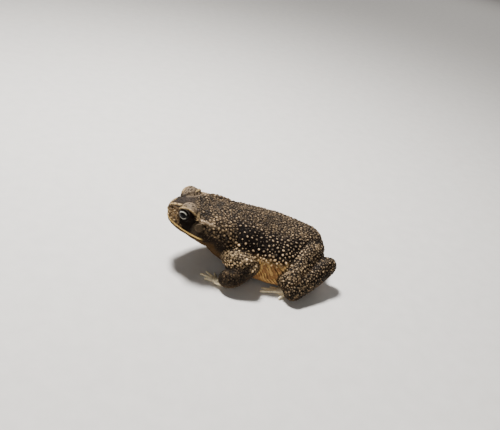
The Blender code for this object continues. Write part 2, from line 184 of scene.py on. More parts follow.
# The curve through xs and ys, at each x
def spline(xs, ys, x):
    xs, ys, x = np.asarray(xs, float), np.asarray(ys, float), np.asarray(x, float)
    slopes = np.gradient(ys, xs, axis=0)
    i = np.clip(np.searchsorted(xs, x) - 1, 0, len(xs) - 2)
    span = xs[i + 1] - xs[i]
    t = (x - xs[i]) / span
    if ys.ndim > 1:
        t, span = t[..., None], span[..., None]
    start = (2 * t**3 - 3 * t**2 + 1) * ys[i] + (t**3 - 2 * t**2 + t) * span * slopes[i]
    return start + (3 * t**2 - 2 * t**3) * ys[i + 1] + (t**3 - t**2) * span * slopes[i + 1]


# As spline, where each point has a column of ys of its own
def splineColumns(xs, columns, x):
    xs = np.asarray(xs, float)
    slopes = np.gradient(columns, xs, axis=0)
    i = np.clip(np.searchsorted(xs, x) - 1, 0, len(xs) - 2)
    n = np.arange(len(x))
    span = xs[i + 1] - xs[i]
    t = (x - xs[i]) / span
    start = (2 * t**3 - 3 * t**2 + 1) * columns[i, n] + (t**3 - 2 * t**2 + t) * span * slopes[i, n]
    return start + (3 * t**2 - 2 * t**3) * columns[i + 1, n] + (t**3 - t**2) * span * slopes[i + 1, n]


def rounding(share, start, end):
    size = np.ones_like(share)
    first, last = share < start, share > 1 - end
    size[first] = np.sqrt(np.clip(1 - (1 - share[first] / start) ** 2, 0, None))
    size[last] = np.sqrt(np.clip(1 - (1 - (1 - share[last]) / end) ** 2, 0, None))
    return size


def power(value, exponent):
    return np.sign(value) * np.abs(value) ** exponent


def fade(value, start, end):
    t = np.clip((np.asarray(value, float) - start) / (end - start), 0, 1)
    return t * t * (3 - 2 * t)


def sided(points, side, moved=(0, 0, 0)):
    return [(x + moved[0], (y + moved[1]) * side, z + moved[2]) for x, y, z in points]


def trunkShape(share, angle):
    x = trunk["x"][0] + share * (trunk["x"][-1] - trunk["x"][0])
    half, top, widest, bottom = (spline(trunk["x"], trunk[key], x) for key in ("halfWidth", "top", "widest", "bottom"))
    size = rounding(share, *trunk["domes"])
    rise = np.where(np.sin(angle) > 0, top - widest, widest - bottom) * power(np.sin(angle), 0.9)
    return np.stack([x, half * power(np.cos(angle), 0.92) * size, widest + rise * size], 1)


def headCorners(at):
    height = at["top"] - at["lip"]
    cheek = (at["halfWidth"] + at["crest"]) / 2
    none = np.zeros_like(height)
    return (
        (-90, none, at["lip"]),
        (-45, at["halfWidth"] * 0.7, at["lip"]),
        (-12, at["halfWidth"], at["lip"] + 0.9),
        (15, at["halfWidth"] * 0.97, at["lip"] + 0.34 * height),
        (42, cheek * 1.06, at["lip"] + 0.74 * height),
        (62, at["crest"], at["top"]),
        (90, none, at["top"] - 0.5),
    )


def jawCorners(at):
    depth = at["lip"] - at["bottom"]
    none = np.zeros_like(depth)
    return (
        (-90, none, at["bottom"]),
        (-45, at["halfWidth"] * 0.62, at["bottom"] + 0.12 * depth),
        (-10, at["halfWidth"] * 0.95, at["bottom"] + 0.6 * depth),
        (12, at["halfWidth"], at["lip"] - 0.9),
        (45, at["halfWidth"] * 0.7, at["lip"]),
        (90, none, at["lip"]),
    )


def headShape(sizes, corners):
    keys = [key for key in sizes if key not in ("x", "rings")]

    def point(x, angle):
        at = {key: spline(sizes["x"], sizes[key], x) for key in keys}
        angles, ys, zs = zip(*corners(at))
        turned = np.degrees(np.arcsin(np.clip(np.sin(angle), -1, 1)))
        y = splineColumns(angles, np.array(ys), turned)
        z = splineColumns(angles, np.array(zs), turned)
        return np.sign(np.cos(angle)) * np.clip(y, 0, None), z

    def shape(share, angle):
        x = sizes["x"][0] + share * (sizes["x"][-1] - sizes["x"][0])
        y, z = point(x, angle)
        flat = np.full_like(x, math.pi / 2)
        middle = (point(x, -flat)[1] + point(x, flat)[1]) / 2
        size = rounding(share, 0.045, 0.05)
        return np.stack([x, y * size, middle + (z - middle) * size], 1)

    return shape


def tubeShape(line, across, up, roll=0):
    line = np.asarray(line, float)
    marks = np.concatenate([[0], np.cumsum(np.linalg.norm(np.diff(line, axis=0), axis=1))])
    length = marks[-1]
    domes = [min(0.45, max(across[end], up[end]) / length) for end in (0, -1)]

    def shape(share, angle):
        at = share * length
        centre = spline(marks, line, at)
        ahead = spline(marks, line, np.minimum(length, at + 0.5)) - spline(marks, line, np.maximum(0, at - 0.5))
        ahead /= np.linalg.norm(ahead, axis=1)[:, None]
        sideways = np.cross(ahead, (0, 0, 1))
        sideways /= np.linalg.norm(sideways, axis=1)[:, None]
        upwards = np.cross(sideways, ahead)
        size = rounding(share, *domes)
        wide = spline(marks, across, at) * size * np.cos(angle)
        tall = spline(marks, up, at) * size * np.sin(angle)
        turn = math.radians(roll)
        # the section is turned about the line by roll
        first = sideways * math.cos(turn) + np.cross(ahead, sideways) * math.sin(turn)
        second = upwards * math.cos(turn) + np.cross(ahead, upwards) * math.sin(turn)
        return centre + first * wide[:, None] + second * tall[:, None]

    return shape


def ballShape(centre, radii):
    def shape(share, angle):
        x = 2 * share - 1
        size = np.sqrt(np.clip(1 - x * x, 0, None))
        parts = [centre[0] + radii[0] * x, centre[1] + radii[1] * size * np.cos(angle), centre[2] + radii[2] * size * np.sin(angle)]
        return np.stack(parts, 1)

    return shape


formPoints, formLabels = [], []


# Adds one closed form to a pile of forms, and keeps its points so that the skin knows what lies under it
def addForm(pile, label, shape, rings):
    bm = bmesh.new()
    bmesh.ops.create_uvsphere(bm, u_segments=rings[0], v_segments=rings[1], radius=1)
    unit = np.array([vert.co for vert in bm.verts])
    polar = np.arccos(np.clip(unit[:, 2], -1, 1)) / math.pi
    share = (polar + (1 - np.cos(polar * math.pi)) / 2) / 2
    places = shape(share, np.arctan2(unit[:, 1], unit[:, 0]))
    for vert, place in zip(bm.verts, places):
        vert.co = Vector(place) * mm - shift
    if bm.calc_volume(signed=True) < 0:
        bmesh.ops.reverse_faces(bm, faces=bm.faces)
    mesh = bpy.data.meshes.new(label)
    bm.to_mesh(mesh)
    bm.free()
    pile.from_mesh(mesh)
    bpy.data.meshes.remove(mesh)
    formPoints.append(places)
    formLabels.extend([label] * len(places))


def addTube(pile, label, sizes, side, moved=(0, 0, 0)):
    line = sided(sizes["line"], side, moved)
    shape = tubeShape(line, sizes["across"], sizes["up"], -sizes.get("roll", 0) * side)
    addForm(pile, label, shape, sizes["rings"])


def addBall(pile, label, sizes, side):
    (centre,) = sided([sizes["centre"]], side)
    addForm(pile, label, ballShape(centre, sizes["radii"]), sizes["rings"])


# Fingers or toes as tapered tubes with knuckles, and the thin web between them
def addDigits(pile, label, sizes, side, moved=(0, 0, 0)):
    (root,) = sided([sizes["root"]], side, moved)
    tips = sided([(x, y, digitTip["height"]) for x, y in sizes["tips"]], side, moved)
    for tip in tips:
        root3, tip3 = Vector(root), Vector(tip)
        rises = (0, 0.3, 1, 0.6, 0)
        line = [tuple(root3.lerp(tip3, i / 4) + Vector((0, 0, rises[i] * digitTip["knuckleRise"]))) for i in range(5)]
        addForm(pile, label, tubeShape(line, sizes["radius"], sizes["radius"]), sizes["rings"])
    bm = bmesh.new()
    for place in [Vector(root)] + [Vector(root).lerp(Vector(tip), sizes["web"]) for tip in tips]:
        for height in (0.3, 0.3 + digitTip["webThickness"]):
            bmesh.ops.create_vert(bm, co=Vector((place.x, place.y, height)) * mm - shift)
    bmesh.ops.convex_hull(bm, input=bm.verts)
    bmesh.ops.delete(bm, geom=[vert for vert in bm.verts if not vert.link_faces], context="VERTS")
    if bm.calc_volume(signed=True) < 0:
        bmesh.ops.reverse_faces(bm, faces=bm.faces)
    mesh = bpy.data.meshes.new("web")
    bm.to_mesh(mesh)
    bm.free()
    pile.from_mesh(mesh)
    bpy.data.meshes.remove(mesh)


def makeObject(name, bm):
    mesh = bpy.data.meshes.new(name)
    bm.to_mesh(mesh)
    bm.free()
    obj = bpy.data.objects.new(name, mesh)
    bpy.context.scene.collection.objects.link(obj)
    return obj


# One closed skin round a pile of forms
def wrapped(pile, name, voxel, passes):
    obj = makeObject(name, pile)
    remesh = obj.modifiers.new("wrap", "REMESH")
    remesh.mode = "VOXEL"
    remesh.voxel_size = voxel * mm
    graph = bpy.context.evaluated_depsgraph_get()
    mesh = bpy.data.meshes.new_from_object(obj.evaluated_get(graph))
    bpy.data.objects.remove(obj)
    bm = bmesh.new()
    bm.from_mesh(mesh)
    bpy.data.meshes.remove(mesh)
    for _ in range(passes):
        bmesh.ops.smooth_vert(bm, verts=bm.verts, factor=0.5, use_axis_x=True, use_axis_y=True, use_axis_z=True)
    return bm


print("wrapping the body")
pile = bmesh.new()
addForm(pile, "torso", trunkShape, trunk["rings"])
addForm(pile, "head", headShape(upperHead, headCorners), upperHead["rings"])
addForm(pile, "jaw", headShape(jaw, jawCorners), jaw["rings"])
for side in (-1, 1):
    addTube(pile, "gland", gland, side)
    addTube(pile, "upperArm", upperArm, side)
    addTube(pile, "forearm", forearm, side)
    addTube(pile, "thigh", thigh, side, legShift[side])
    addTube(pile, "shank", shank, side, legShift[side])
body = wrapped(pile, "body", skinMesh["coarse"], skinMesh["blend"])
for side in (-1, 1):
    addTube(body, "hand", palm, side)
    addDigits(body, "hand", fingers, side)
    addTube(body, "foot", ankle, side, footShift[side])
    addDigits(body, "foot", toes, side, footShift[side])
    addBall(body, "lid", lid, side)
    addBall(body, "eardrum", eardrum, side)
    addTube(body, "crest", crest, side)
    addTube(body, "brow", brow, side)
    addTube(body, "lip", lip, side)
skinBm = wrapped(body, "skin", skinMesh["fine"], skinMesh["polish"])
print("the skin has", len(skinBm.faces), "faces")


def placesOf(bm):
    return np.array([vert.co for vert in bm.verts]) / mm + shiftMm


# Finer faces where small shapes are: the head and the digits
print("refining the head, hands and feet")
fine = {"head": -34, "digitHeight": 6}


def isFine(place):
    x, y, z = place
    onHead = x < fine["head"] and z > 22
    onHand = -34 < x < -16 and abs(y) > 17 and z < fine["digitHeight"]
    onFoot = 0 < x < 34 and abs(y) > 27 and z < 4
    onFlank = -1 < x < 36 and abs(y) > 26 and 5 < z < 23
    return onHead or onHand or onFoot or onFlank


edges = [edge for edge in skinBm.edges if isFine(np.array(edge.verts[0].co) / mm + shiftMm)]
bmesh.ops.subdivide_edges(skinBm, edges=edges, cuts=1, use_grid_fill=True)
bmesh.ops.triangulate(skinBm, faces=[face for face in skinBm.faces if len(face.verts) > 4])
soft = [vert for vert in skinBm.verts if isFine(np.array(vert.co) / mm + shiftMm)]
for _ in range(2):
    bmesh.ops.smooth_vert(skinBm, verts=soft, factor=0.5, use_axis_x=True, use_axis_y=True, use_axis_z=True)

# Small shapes of the skin, made by moving its points
# The lid opening's half angles are in degrees. The pale fold above it is further out, by an angle for
# each bearing, from straight back over the top to straight ahead
lidOpening = {"axis": (-0.58, 0.80, 0.14), "back": 47, "front": 58, "up": 41, "down": 51, "depth": 4.5, "rim": 0.3}
lidFold = {"bearing": (0, 18, 45, 77, 112, 140, 180), "angle": (92, 84, 66, 54, 56, 62, 70), "rise": 0.55, "width": 5}
nostril = {"centre": (-56.3, 4.3, 42.6), "radius": 0.75, "depth": 1.3, "rim": 0.3}
mouth = {"start": -59.6, "end": -33, "width": 0.4, "depth": 0.75}
folds = {"direction": (0.79, 0.61), "perDegree": 0.59, "length": 2.3, "depth": 0.75}
headTurn = {"shift": 2.0, "from": 3, "to": 12}


def unitOf(vector):
    vector = np.asarray(vector, float)
    return vector / np.linalg.norm(vector)


def eyeFrame():
    axis = unitOf(lidOpening["axis"])
    sideways = unitOf(np.cross(axis, (0, 0, 1)))
    return axis, sideways, np.cross(sideways, axis)


# How far out from the middle of the lid opening each place is: 1 is its edge
def openingMeasure(places):
    axis, sideways, upwards = eyeFrame()
    away = places - np.array(eyeball["centre"])
    distance = np.linalg.norm(away, axis=1)
    rays = away / distance[:, None]
    angle = np.degrees(np.arccos(np.clip(rays @ axis, -1, 1)))
    across, up = rays @ sideways, rays @ upwards
    off = np.maximum(np.hypot(across, up), 1e-6)
    halfSide = np.where(across > 0, lidOpening["back"], lidOpening["front"])
    halfUp = np.where(up > 0, lidOpening["up"], lidOpening["down"])
    measure = angle * np.hypot(across / off / halfSide, up / off / halfUp)
    bearing = np.degrees(np.arctan2(np.maximum(up, 0), across))
    fold = angle - np.interp(bearing, lidFold["bearing"], lidFold["angle"])
    return measure, rays, distance, up / off, fold


# How far each place is from the line of the crest, as a share of the crest's radius there
def crestShare(places):
    line = np.array(crest["line"], float)
    marks = np.arange(len(line), dtype=float)
    fine = np.linspace(0, len(line) - 1, 90)
    points, radii = spline(marks, line, fine), spline(marks, crest["across"], fine)
    shares = np.full(len(places), 9.0)
    near = (places[:, 0] < -34) & (places[:, 2] > 36)
    gaps = np.linalg.norm(places[near][:, None] - points[None], axis=2) / radii
    shares[near] = gaps.min(1)
    return shares


# The slanted creases low on the flank: how deep each place lies in one, and where they are
def creaseAt(raw, places):
    angle = trunkAngle(places)
    mask = fade(angle, -11, -2) * fade(-angle, -25, -13) * fade(places[:, 0], 0, 6) * fade(-places[:, 0], -40, -32)
    wave = places[:, 0] * folds["direction"][0] + angle * folds["perDegree"] * folds["direction"][1]
    wave += noiseAt(raw, 8, 3) * 1.6 + noiseAt(raw, 2.5, 5) * 0.4
    deep = 0.55 + 0.9 * noiseAt(raw, 4, 13)
    return (1 - np.abs(np.sin(wave * math.pi / folds["length"]))) ** 2 * mask * np.clip(deep, 0.1, 1), mask


def trunkAngle(places):
    widest = spline(trunk["x"], trunk["widest"], np.clip(places[:, 0], -35, 64))
    return np.degrees(np.arctan2(places[:, 2] - widest, places[:, 1]))


def noiseAt(places, size, seed=0.0):
    return np.array([noise.noise(Vector(place) / size + Vector((seed, seed, seed))) for place in places])


def sculpt(bm):
    bm.normal_update()
    raw = placesOf(bm)
    normals = np.array([vert.normal for vert in bm.verts])
    side = np.where(raw[:, 1] < 0, -1, 1)
    places = np.stack([raw[:, 0], np.abs(raw[:, 1]), raw[:, 2]], 1)
    out = np.stack([normals[:, 0], normals[:, 1] * side, normals[:, 2]], 1)

    # slow unevenness of living skin, calmer on the digits
    calm = 0.08 + 0.92 * fade(places[:, 2], 3, 8)
    places += out * ((noiseAt(raw, 9) * 0.5 + noiseAt(raw, 4, 7) * 0.25) * calm)[:, None]

    # the lids open on the eyeball
    near = np.where(np.linalg.norm(places - eyeball["centre"], axis=1) < 10)[0]
    measure, rays, distance, upness, fold = openingMeasure(places[near])
    inside = 1 - fade(measure, 0.90, 1.03)
    radius = distance * (1 - inside) + lidOpening["depth"] * inside
    radius = np.where((measure > 1.03) & (measure < 1.3), np.maximum(radius, eyeball["radius"] + 0.35), radius)
    radius += lidOpening["rim"] * np.exp(-(((measure - 1.10) / 0.07) ** 2))
    # between the opening and the fold above it the lid lies close to the ball
    under = (measure > 1.03) & (fold < -3) & (upness > 0)
    radius = np.where(under, np.minimum(radius, eyeball["radius"] + 0.75), radius)
    radius += lidFold["rise"] * np.exp(-((fold / lidFold["width"]) ** 2)) * fade(upness, 0.1, 0.4)
    places[near] = np.array(eyeball["centre"]) + rays * radius[:, None]

    # the nostril
    away = np.linalg.norm(places - nostril["centre"], axis=1)
    dip = nostril["depth"] * np.exp(-((away / nostril["radius"]) ** 2))
    rim = nostril["rim"] * np.exp(-(((away - 1.5) / 0.45) ** 2))
    places += out * (rim - dip)[:, None]

    # the line of the mouth
    line = spline(upperHead["x"], upperHead["lip"], np.clip(places[:, 0], -59.3, -22)) - 0.1
    along = fade(places[:, 0], mouth["end"], mouth["end"] - 3) * (places[:, 0] < -20)
    groove = np.exp(-(((places[:, 2] - line) / mouth["width"]) ** 2)) * along
    places -= out * (mouth["depth"] * groove)[:, None]

    # the rim and the hollow of the eardrum
    off = np.hypot(places[:, 0] - eardrum["centre"][0], places[:, 2] - eardrum["centre"][2])
    onDrum = (places[:, 1] > 18) & (off < 6)
    ring = 0.22 * np.exp(-(((off - 2.6) / 0.4) ** 2)) - 0.3 * (1 - fade(off, 1.0, 2.4))
    places[:, 1] += np.where(onDrum, ring, 0)

    # slanted creases low on the flank
    crease, mask = creaseAt(raw, places)
    places += out * (folds["depth"] * (0.35 * mask - crease))[:, None]

    places[:, 1] *= side
    places[:, 2] = np.maximum(places[:, 2], 0)
    for vert, place in zip(bm.verts, places):
        vert.co = Vector(place) * mm - shift


# The head is turned a little to its right, so the far eye sits further back
def turned(places):
    x, y, z = places.T
    amount = fade(y, headTurn["from"], headTurn["to"]) * fade(-x, 24, 34) * fade(z, 14, 24)
    moved = places.copy()
    moved[:, 0] += headTurn["shift"] * amount
    return moved


print("sculpting the skin")
sculpt(skinBm)
skinBm.normal_update()
for face in skinBm.faces:
    face.smooth = True
triangles = len(skinBm.calc_loop_triangles())
skin = makeObject("skin", skinBm)


# Fewer faces where the skin is plain, so that the fine ones fit in the whole
def thinned(obj, before, after):
    group = obj.vertex_groups.new(name="plain")
    plain = [vert.index for vert in obj.data.vertices if not isFine(np.array(vert.co) / mm + shiftMm)]
    group.add(plain, 1.0, "REPLACE")
    decimate = obj.modifiers.new("thin", "DECIMATE")
    decimate.ratio = min(1, after / before)
    decimate.vertex_group = group.name
    decimate.vertex_group_factor = 10
    graph = bpy.context.evaluated_depsgraph_get()
    mesh = bpy.data.meshes.new_from_object(obj.evaluated_get(graph))
    obj.modifiers.remove(decimate)
    obj.vertex_groups.remove(group)
    obj.data = mesh
    mesh.shade_smooth()


thinned(skin, triangles, skinMesh["triangles"])
print("the skin has", sum(len(face.vertices) - 2 for face in skin.data.polygons), "triangles, from", triangles)

# What lies under each place: a share of each form's label, from the nearest points of the forms
labelNames = sorted(set(formLabels))
labelIndex = {name: i for i, name in enumerate(labelNames)}
allPoints = np.concatenate(formPoints)
formTree = KDTree(len(allPoints))
for i, place in enumerate(allPoints):
    formTree.insert(place, i)
formTree.balance()
labelOf = np.array([labelIndex[name] for name in formLabels])


def labelsAt(places, count=6, softness=0.8):
    shares = np.zeros((len(places), len(labelNames)))
    for row, place in enumerate(places):
        found = formTree.find_n(place, count)
        nearest = found[0][2]
        for _, i, distance in found:
            shares[row, labelOf[i]] += math.exp(-(distance - nearest) / softness)
    return shares / shares.sum(1)[:, None]


# Kinds of skin: its tone, the tone of its warts, their least and largest radius, how far apart they
# stand (1 is touching), the share of them that is there, how high they rise, the share of their tone
# that their foot has, and the size of the dark pits in a pale network (0 is none)
skinKinds = {
    "back": ((0.0058, 0.0035, 0.0019), (0.1328, 0.0885, 0.0468), 0.5, 1.2, 0.95, 0.9, 0.85, 0.1, 0.64),
    "rump": ((0.0032, 0.0019, 0.001), (0.1924, 0.1296, 0.0708), 0.55, 1.25, 1.0, 0.9, 0.95, 0.1, 0.65),
    "band": ((0.004, 0.002, 0.001), (0.31, 0.215, 0.125), 0.65, 1.25, 1.2, 0.9, 1.0, 0.0, 0.95),
    "bandFront": ((0.003, 0.0015, 0.0007), (0.31, 0.215, 0.125), 0.55, 1.1, 1.8, 0.36, 1.0, 0.0, 1.0),
    "flank": ((0.008, 0.0045, 0.002), (0.564, 0.372, 0.192), 0.75, 1.45, 1.0, 1.0, 1.0, 0.1, 0.85),
    "belly": ((0.265, 0.132, 0.048), (0.36, 0.21, 0.08), 0.4, 0.7, 1.5, 0.04, 0.8, 0.5, 0.0),
    "under": ((0.16, 0.095, 0.045), (0.26, 0.18, 0.10), 0.3, 0.5, 1.5, 0.0, 0.8, 0.5, 0.0),
    "throat": ((0.0578, 0.032, 0.0129), (0.1088, 0.068, 0.034), 0.3, 0.5, 1.2, 0.0, 0.8, 0.5, 0.0),
    # neckShade is painted shade: the dark tone laid on the lower side of the neck, behind the eye and on the gland's
    # underside
    "neckShade": ((0.0102, 0.0051, 0.0022), (0.042, 0.0258, 0.0123), 0.4, 0.7, 1.2, 0.3, 0.7, 0.2, 0.8),
    "crown": ((0.0261, 0.0179, 0.0126), (0.0499, 0.0352, 0.0243), 0.35, 0.7, 1.2, 0.22, 0.35, 0.6, 0.3),
    "crownDark": ((0.0073, 0.0047, 0.0032), (0.0289, 0.02, 0.0139), 0.35, 0.6, 1.2, 0.15, 0.35, 0.5, 0.3),
    "snout": ((0.102, 0.0626, 0.0292), (0.361, 0.2481, 0.1263), 0.45, 0.9, 1.1, 0.35, 0.6, 0.4, 0.0),
    "snoutDark": ((0.016, 0.008, 0.0032), (0.09, 0.054, 0.0234), 0.4, 0.7, 1.1, 0.12, 0.6, 0.2, 0.0),
    # mask: partly a dark marking, partly painted shade on the side of the face and below the eye
    "mask": ((0.006, 0.003, 0.0014), (0.03, 0.018, 0.01), 0.4, 0.5, 1.2, 0.0, 0.5, 0.2, 0.9),
    "temple": ((0.045, 0.032, 0.019), (0.1, 0.07, 0.045), 0.35, 0.55, 1.2, 0.15, 0.5, 0.4, 0.3),
    "lid": ((0.1552, 0.1118, 0.0725), (0.324, 0.2322, 0.1458), 0.35, 0.65, 1.05, 0.35, 0.45, 0.5, 0.0),
    "lidPit": ((0.012, 0.007, 0.004), (0.15, 0.10, 0.06), 0.35, 0.45, 1.2, 0.0, 0.4, 0.2, 0.0),
    # marginHighlight is painted highlight: a lighter grey line along the edge of the upper lid
    "marginHighlight": ((0.050, 0.040, 0.033), (0.05, 0.04, 0.03), 0.35, 0.45, 1.2, 0.0, 0.4, 0.2, 0.0),
    "crest": ((0.42, 0.285, 0.135), (0.48, 0.34, 0.175), 0.35, 0.6, 1.0, 0.4, 0.45, 0.7, 0.0),
    "brow": ((0.189, 0.1305, 0.0765), (0.414, 0.297, 0.18), 0.4, 0.75, 0.95, 0.7, 0.65, 0.5, 0.0),
    "lip": ((0.64, 0.42, 0.135), (0.6, 0.42, 0.17), 0.4, 0.5, 1.2, 0.0, 0.5, 0.5, 0.0),
    "gland": ((0.009, 0.0051, 0.0026), (0.1778, 0.1176, 0.0604), 0.5, 1.35, 0.98, 0.9, 0.85, 0.1, 0.64),
    "eardrum": ((0.060, 0.042, 0.025), (0.1, 0.08, 0.05), 0.4, 0.5, 1.2, 0.0, 0.5, 0.5, 0.0),
    "drumRim": ((0.11, 0.08, 0.047), (0.3, 0.2, 0.1), 0.4, 0.5, 1.2, 0.0, 0.5, 0.5, 0.0),
    "arm": ((0.012, 0.007, 0.003), (0.4609, 0.3182, 0.1703), 0.45, 0.95, 1.0, 0.6, 0.6, 0.4, 0.57),
    # forearm: partly the forearm's own dark colour, partly painted shade
    "forearm": ((0.009, 0.0051, 0.0026), (0.0715, 0.0454, 0.0227), 0.35, 0.8, 1.0, 0.7, 0.6, 0.5, 0.6),
    "leg": ((0.0038, 0.0022, 0.001), (0.2605, 0.1777, 0.0975), 0.5, 1.1, 1.0, 0.8, 0.8, 0.15, 0.63),
    # digit: the pale cream of the hands and feet, brightened further as painted light
    "digit": ((0.8856, 0.756, 0.5076), (0.6, 0.48, 0.32), 0.3, 0.5, 1.2, 0.0, 0.5, 0.5, 0.0),
    # foldTopHighlight is painted highlight: a lighter orange, in patches, on the ridges between the flank creases
    "foldTopHighlight": ((0.52, 0.30, 0.10), (0.60, 0.40, 0.18), 0.4, 0.6, 1.2, 0.03, 0.5, 0.5, 0.0),
    # crease is painted shade in the flank creases
    "crease": ((0.026, 0.011, 0.004), (0.1, 0.07, 0.04), 0.4, 0.6, 1.2, 0.0, 0.5, 0.2, 0.0),
    # dark: used for dark blotches, and also as painted shade in folds, grooves and hollows
    "dark": ((0.004, 0.0025, 0.0012), (0.05, 0.032, 0.016), 0.4, 0.6, 1.2, 0.0, 0.5, 0.2, 0.9),
}


# The kind of skin at each place, laid on from the base up; some layers are painted shade and painted highlight, as
# noted
def skinAt(raw, normals):
    places = np.stack([raw[:, 0], np.abs(raw[:, 1]), raw[:, 2]], 1)
    x, y, z = places.T
    up = normals[:, 2]
    share = {name: labelsAt.shares[:, i] for name, i in labelIndex.items()}
    jitter = noiseAt(raw, 3.5, 11)
    blotch = noiseAt(raw, 2.2, 23)
    angle = trunkAngle(places) + jitter * 9
    found = np.tile(np.concatenate([np.ravel(part) for part in skinKinds["back"]]), (len(raw), 1))

    def lay(kind, mask):
        values = np.concatenate([np.ravel(part) for part in skinKinds[kind]])
        found[:] += (values - found) * np.clip(mask, 0, 1)[:, None]

    band = fade(angle, 22, 30) * fade(-angle, -60, -52) * fade(x, -17, -11) * fade(-x, -46, -33)
    lay("rump", fade(x + jitter * 5, 24, 38))
    lay("flank", fade(-angle, -34, -24))
    lay("band", band)
    lay("bandFront", band * fade(-x, -13, -3))
    low = fade(-angle, -22, -12) * fade(x, -4, 4)
    lay("belly", low)
    lay("under", fade(-angle, 6, 22))
    creased, onFolds = creaseAt(raw, places)
    # painted highlight on the ridges between the creases, in patches
    lay("foldTopHighlight", onFolds * (1 - fade(creased, 0.05, 0.4)) * fade(angle, -22, -13) * fade(jitter, -0.15, 0.15))
    # painted shade in the creases
    lay("crease", creased * 1.3)
    # painted shade on the lower side of the neck
    neckShade = fade(-x, 8, 16) * fade(-angle, -46, -30)
    lay("neckShade", neckShade)
    lay("throat", fade(-x, 10, 18) * fade(-angle, -2, 14))
    limbs = {"upperArm": "arm", "forearm": "forearm", "thigh": "leg", "shank": "leg"}
    for label, kind in limbs.items():
        lay(kind, share[label])
        lay("dark", share[label] * fade(blotch, 0.25, 0.4) * 0.6)
        lay("under", share[label] * fade(-up, 0.3, 0.7) * 0.6)
    lay("arm", share["forearm"] * fade(x, -2, 3) * fade(up, 0.0, 0.4) * 0.8)
    # painted shade: the whole shank is darkened
    lay("dark", share["shank"] * 0.22)
    # painted shade: the folds where two forms of the body meet are darkened, as shade falls in them
    for first, second in (("thigh", "shank"), ("thigh", "torso"), ("upperArm", "forearm"), ("upperArm", "torso")):
        lay("dark", fade(4 * share[first] * share[second], 0.35, 0.9) * fade(up, -0.4, 0.1) * 0.75)
    # pale digits, partly brightened as painted light
    lay("digit", share["hand"] + share["foot"] * fade(-x, -40, -34))
    lay("forearm", share["hand"] * fade(x, -22, -17) * fade(up, 0.1, 0.5))
    lay("leg", share["foot"] * fade(x, 34, 40) * fade(up, -0.2, 0.1))
    top = share["head"] + share["lid"] + share["crest"] + share["eardrum"] + share["lip"] + share["brow"]
    mottle = noiseAt(raw, 1.7, 31) + 0.5 * noiseAt(raw, 0.8, 37)
    lay("crown", top)
    lay("crownDark", top * fade(mottle, 0.0, 0.25) * 0.8)
    lay("back", share["head"] * fade(x, -44, -37) * fade(z, 42.5, 44))
    faceSide = share["head"] + share["lip"]
    onSide = fade(-z, -45.2, -43.4) * faceSide * fade(-x, 44, 48)
    lay("snout", onSide)
    lay("snoutDark", onSide * fade(mottle, -0.04, 0.16) * 0.9)
    lay("throat", share["jaw"])
    lay("lid", share["lid"] * fade(up, -0.1, 0.2))
    lay("lidPit", share["lid"] * fade(up, 0, 0.3) * fade(noiseAt(raw, 1.3, 47), 0.16, 0.28))
    ahead = -0.38 * (z - 38)
    behind = 0.25 * (z - 39)
    beside = faceSide * fade(-z, -45, -43.5)
    lay("temple", beside * fade(x, -43, -41) * fade(-x, 33, 36))
    # the dark mask on the side of the face: partly a marking, partly painted shade
    lay("mask", beside * fade(x, -50.6 + ahead, -49.2 + ahead) * fade(-x, 40.8 - behind, 42.4 - behind))
    measure, upness, fold = (np.full(len(places), value) for value in (9.0, 1.0, 90.0))
    near = np.linalg.norm(places - eyeball["centre"], axis=1) < 9
    measure[near], _, _, upness[near], fold[near] = openingMeasure(places[near])
    # below the eye: partly dark marking, partly painted shade
    lay("mask", near * (1 - fade(upness, 0.30, 0.55)) * fade(x, -51.5, -50) * (measure < 2.2))
    # painted shade: the dark mask tone under the pale fold above the lid opening
    lay("mask", near * (1 - fade(fold, -7, -2)) * fade(upness, 0, 0.2))
    # painted shade behind the eye, below the crown
    lay("neckShade", share["head"] * fade(x, -39, -36.5) * fade(-z, -43.5, -41.5))
    lay("gland", share["gland"])
    # painted shade on the downward-facing side of the gland
    lay("neckShade", share["gland"] * fade(-up, -0.15, 0.25))
    ridge = crestShare(places)
    lay("brow", share["brow"])
    # dark skin between the low ridge and the eardrum
    lay("dark", fade(x, -41, -39) * fade(-x, 31, 34) * fade(z, 41.0, 41.8) * fade(-z, -43.2, -42.4) * (y > 19.5) * (1 - share["brow"]) * 0.8)
    lay("eardrum", share["eardrum"])
    ahead, below = eardrum["centre"][0] - x, eardrum["centre"][2] - z
    off = np.hypot(ahead, below)
    arc = np.exp(-(((off - 2.7) / 0.35) ** 2)) * fade((ahead * 0.5 + below) / (off + 0.01), 0.1, 0.8)
    lay("drumRim", arc * (places[:, 1] > 18) * 0.7)
    # the crest is plainest over the lid, where the photo shows only specks of it
    overLid = fade(x, -51, -49) * fade(-x, 41.5, 43.5)
    lay("crest", (1 - fade(ridge, 0.8, 1.2)) * fade(mottle, -0.5, -0.15) * (1 - 0.75 * overLid))
    # painted shade in the groove below the crest, on the side of the snout
    lay("dark", fade(ridge, 1.3, 1.6) * (1 - fade(ridge, 2.2, 2.8)) * fade(-z, -44.4, -43.6) * fade(x, -57, -56) * fade(-x, 52.6, 53.4) * 0.8)
    upperLip = spline(upperHead["x"], upperHead["lip"], np.clip(x, -59.3, -22))
    face = share["head"] + share["lip"] + share["jaw"]
    lay("lip", fade(z, upperLip - 0.2, upperLip + 0.3) * fade(-z, -upperLip - 2.3, -upperLip - 1.7) * fade(-x, 33, 37) * face)
    tall = 40.2 + 1.5 * mottle
    lay("lip", fade(-x, 58.2, 58.9) * fade(z, 35, 36) * fade(-z, -tall - 0.5, -tall + 0.5) * fade(-y, -4.6, -3.4) * face * 0.8)
    # painted shade along the groove of the mouth line
    lay("dark", np.exp(-(((z - upperLip + 0.1) / 0.45) ** 2)) * fade(-x, 33, 36) * face)
